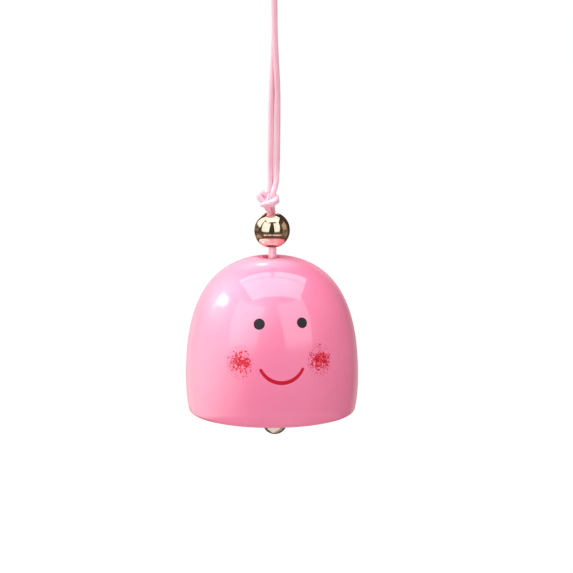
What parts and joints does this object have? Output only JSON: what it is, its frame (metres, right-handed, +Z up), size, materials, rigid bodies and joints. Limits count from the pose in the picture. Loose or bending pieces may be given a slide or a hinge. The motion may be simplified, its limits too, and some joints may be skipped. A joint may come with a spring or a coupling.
{
  "type": "wind chime",
  "caption": "Small painted iron wind bell with a ball clapper, hung on a doubled satin cord with a knot and a gold bead.",
  "frame": {"origin": "top of the cord's loop, where a hook carries the chime", "axes": "+Z up along the bell's axis, -Y the way the painted face looks, +X to the viewer's right"},
  "size_m": [0.048, 0.048, 0.1352],
  "materials": {
    "pink_paint": "gloss pink enamel with a painted face",
    "gold_plate": "polished pale gold",
    "satin_cord": "satin weave, light pink",
    "bare_steel": "plain"
  },
  "bodies": {
    "hook_end": {"cord_loop": "satin_cord"},
    "cord": {"hanging_cord_right": "satin_cord", "hanging_cord_left": "satin_cord", "top_knot": "satin_cord", "through_cord": "satin_cord", "stopper_knot": "satin_cord"},
    "bead": {"gold_bead": "gold_plate"},
    "seat": {"stopper_washer": "bare_steel"},
    "bell": {"bell_shell": "pink_paint"},
    "clapper_line": {"clapper_cord": "satin_cord", "clapper_knot": "satin_cord"},
    "clapper": {"clapper_eye": "bare_steel", "clapper_ball": "gold_plate"}
  },
  "joints": [
    {"name": "chime_swing", "type": "hinge", "parent": "hook_end", "child": "cord", "pos_m": [0.00072, 0, -0.0094], "axis": [0, 1, 0], "range_deg": [-30, 30]},
    {"name": "bead_slide", "type": "slide", "parent": "cord", "child": "bead", "axis": [0, 0, 1], "range_m": [-0.002, 0.0005]},
    {"name": "bell_rock", "type": "hinge", "parent": "cord", "child": "seat", "pos_m": [0, 0, -0.08845], "axis": [0, 1, 0], "range_deg": [-8, 8]},
    {"name": "bell_spin", "type": "hinge", "parent": "seat", "child": "bell", "pos_m": [0, 0, -0.083], "axis": [0, 0, 1], "continuous": true},
    {"name": "clapper_swing", "type": "hinge", "parent": "seat", "child": "clapper_line", "pos_m": [0.0008, 0, -0.09176], "axis": [0, 1, 0], "range_deg": [-25, 25]},
    {"name": "clapper_ball_swing", "type": "hinge", "parent": "clapper_line", "child": "clapper", "pos_m": [0.0008, 0, -0.12445], "axis": [1, 0, 0], "range_deg": [-35, 35]}
  ]
}
